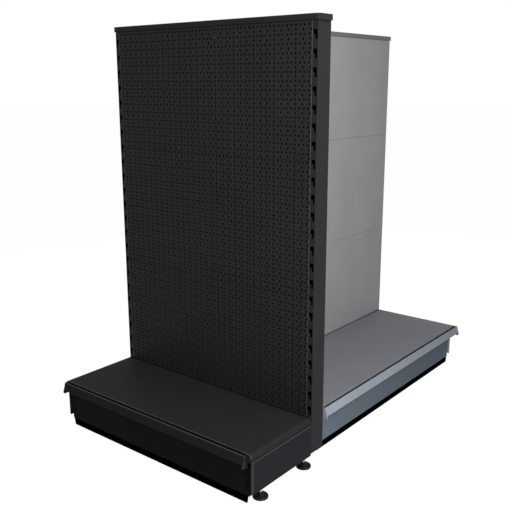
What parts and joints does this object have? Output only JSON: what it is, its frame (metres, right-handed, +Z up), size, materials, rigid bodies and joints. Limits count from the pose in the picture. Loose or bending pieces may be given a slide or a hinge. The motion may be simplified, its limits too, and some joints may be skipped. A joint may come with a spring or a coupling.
{
  "type": "gondola end unit",
  "caption": "Gondola end unit with slotted uprights, perforated back panels, a base shelf with a sloped price rail and a kick plate, joined to a double-sided shelving bay.",
  "frame": {"origin": "on the floor, under the middle of the whole piece's box", "axes": "+Z up; -Y is the way the end unit's front looks, and the bay runs back along +Y; +X is the right-hand side as seen from the front"},
  "size_m": [0.8346, 1.3984, 1.34],
  "materials": {
    "black_steel": "satin powder coat",
    "grey_steel": "satin powder coat",
    "black_board": "black coating on a 16 mm board",
    "grey_board": "grey coating on a 16 mm board",
    "black_plastic": "satin",
    "grey_plastic": "satin",
    "seal": "matt",
    "zinc": "zinc plated",
    "foot_steel": "dark satin"
  },
  "bodies": {
    "end_shelf": {"end_base_shelf": "black_steel", "end_price_rail": "black_plastic", "end_rail_caps": "black_plastic"},
    "bay_shelf_right": {"bay_base_shelf_right": "grey_steel", "bay_price_rail_right": "grey_plastic", "bay_rail_caps_right": "grey_plastic"},
    "bay_shelf_left": {"bay_base_shelf_left": "grey_steel", "bay_price_rail_left": "grey_plastic", "bay_rail_caps_left": "grey_plastic"},
    "end_plinth": {"end_kick_plate": "black_steel", "end_seal_strip": "seal"},
    "bay_plinth_right": {"bay_kick_plate_right": "grey_steel", "bay_seal_strip_right": "seal"},
    "bay_plinth_left": {"bay_kick_plate_left": "grey_steel", "bay_seal_strip_left": "seal"},
    "end_foot_front_left": {"end_foot_front_left": "foot_steel"},
    "end_foot_front_right": {"end_foot_front_right": "foot_steel"},
    "end_foot_rear_left": {"end_foot_rear_left": "foot_steel"},
    "end_foot_rear_right": {"end_foot_rear_right": "foot_steel"},
    "bay_foot_right_1": {"bay_foot_right_1": "foot_steel"},
    "bay_foot_right_2": {"bay_foot_right_2": "foot_steel"},
    "bay_foot_right_3": {"bay_foot_right_3": "foot_steel"},
    "bay_foot_right_4": {"bay_foot_right_4": "foot_steel"},
    "bay_foot_left_1": {"bay_foot_left_1": "foot_steel"},
    "bay_foot_left_2": {"bay_foot_left_2": "foot_steel"},
    "bay_foot_left_3": {"bay_foot_left_3": "foot_steel"},
    "bay_foot_left_4": {"bay_foot_left_4": "foot_steel"},
    "frame": {"end_upright_left": "black_steel", "end_upright_right": "black_steel", "end_leg_left": "black_steel", "end_leg_right": "black_steel", "end_panel_lower": "black_steel", "end_panel_middle": "black_steel", "end_panel_upper": "black_steel", "end_rear_panels": "black_steel", "end_top_cover": "black_board", "end_tie_bars": "black_steel", "end_foot_nuts": "zinc", "joining_bolts": "zinc", "joining_nuts": "zinc", "bay_upright_near": "grey_steel", "bay_upright_far": "grey_steel", "bay_leg_right_near": "grey_steel", "bay_leg_right_far": "grey_steel", "bay_leg_left_near": "grey_steel", "bay_leg_left_far": "grey_steel", "bay_panels_lower": "grey_steel", "bay_panels_middle": "grey_steel", "bay_panels_upper": "grey_steel", "bay_top_cover": "grey_board", "bay_tie_bars": "grey_steel", "bay_foot_nuts": "zinc"}
  },
  "joints": [
    {"name": "end_shelf_lift", "type": "slide", "parent": "frame", "child": "end_shelf", "axis": [0, 0, 1], "range_m": [0, 0.06]},
    {"name": "bay_shelf_right_lift", "type": "slide", "parent": "frame", "child": "bay_shelf_right", "axis": [0, 0, 1], "range_m": [0, 0.06]},
    {"name": "bay_shelf_left_lift", "type": "slide", "parent": "frame", "child": "bay_shelf_left", "axis": [0, 0, 1], "range_m": [0, 0.06]},
    {"name": "end_plinth_pull", "type": "slide", "parent": "frame", "child": "end_plinth", "axis": [0, -1, 0], "range_m": [0, 0.05]},
    {"name": "bay_plinth_right_pull", "type": "slide", "parent": "frame", "child": "bay_plinth_right", "axis": [1, 0, 0], "range_m": [0, 0.05]},
    {"name": "bay_plinth_left_pull", "type": "slide", "parent": "frame", "child": "bay_plinth_left", "axis": [-1, 0, 0], "range_m": [0, 0.05]},
    {"name": "end_foot_front_left_screw", "type": "slide", "parent": "frame", "child": "end_foot_front_left", "axis": [0, 0, 1], "range_m": [-0.015, 0.015]},
    {"name": "end_foot_front_right_screw", "type": "slide", "parent": "frame", "child": "end_foot_front_right", "axis": [0, 0, 1], "range_m": [-0.015, 0.015]},
    {"name": "end_foot_rear_left_screw", "type": "slide", "parent": "frame", "child": "end_foot_rear_left", "axis": [0, 0, 1], "range_m": [-0.015, 0.015]},
    {"name": "end_foot_rear_right_screw", "type": "slide", "parent": "frame", "child": "end_foot_rear_right", "axis": [0, 0, 1], "range_m": [-0.015, 0.015]},
    {"name": "bay_foot_right_1_screw", "type": "slide", "parent": "frame", "child": "bay_foot_right_1", "axis": [0, 0, 1], "range_m": [-0.015, 0.015]},
    {"name": "bay_foot_right_2_screw", "type": "slide", "parent": "frame", "child": "bay_foot_right_2", "axis": [0, 0, 1], "range_m": [-0.015, 0.015]},
    {"name": "bay_foot_right_3_screw", "type": "slide", "parent": "frame", "child": "bay_foot_right_3", "axis": [0, 0, 1], "range_m": [-0.015, 0.015]},
    {"name": "bay_foot_right_4_screw", "type": "slide", "parent": "frame", "child": "bay_foot_right_4", "axis": [0, 0, 1], "range_m": [-0.015, 0.015]},
    {"name": "bay_foot_left_1_screw", "type": "slide", "parent": "frame", "child": "bay_foot_left_1", "axis": [0, 0, 1], "range_m": [-0.015, 0.015]},
    {"name": "bay_foot_left_2_screw", "type": "slide", "parent": "frame", "child": "bay_foot_left_2", "axis": [0, 0, 1], "range_m": [-0.015, 0.015]},
    {"name": "bay_foot_left_3_screw", "type": "slide", "parent": "frame", "child": "bay_foot_left_3", "axis": [0, 0, 1], "range_m": [-0.015, 0.015]},
    {"name": "bay_foot_left_4_screw", "type": "slide", "parent": "frame", "child": "bay_foot_left_4", "axis": [0, 0, 1], "range_m": [-0.015, 0.015]}
  ]
}
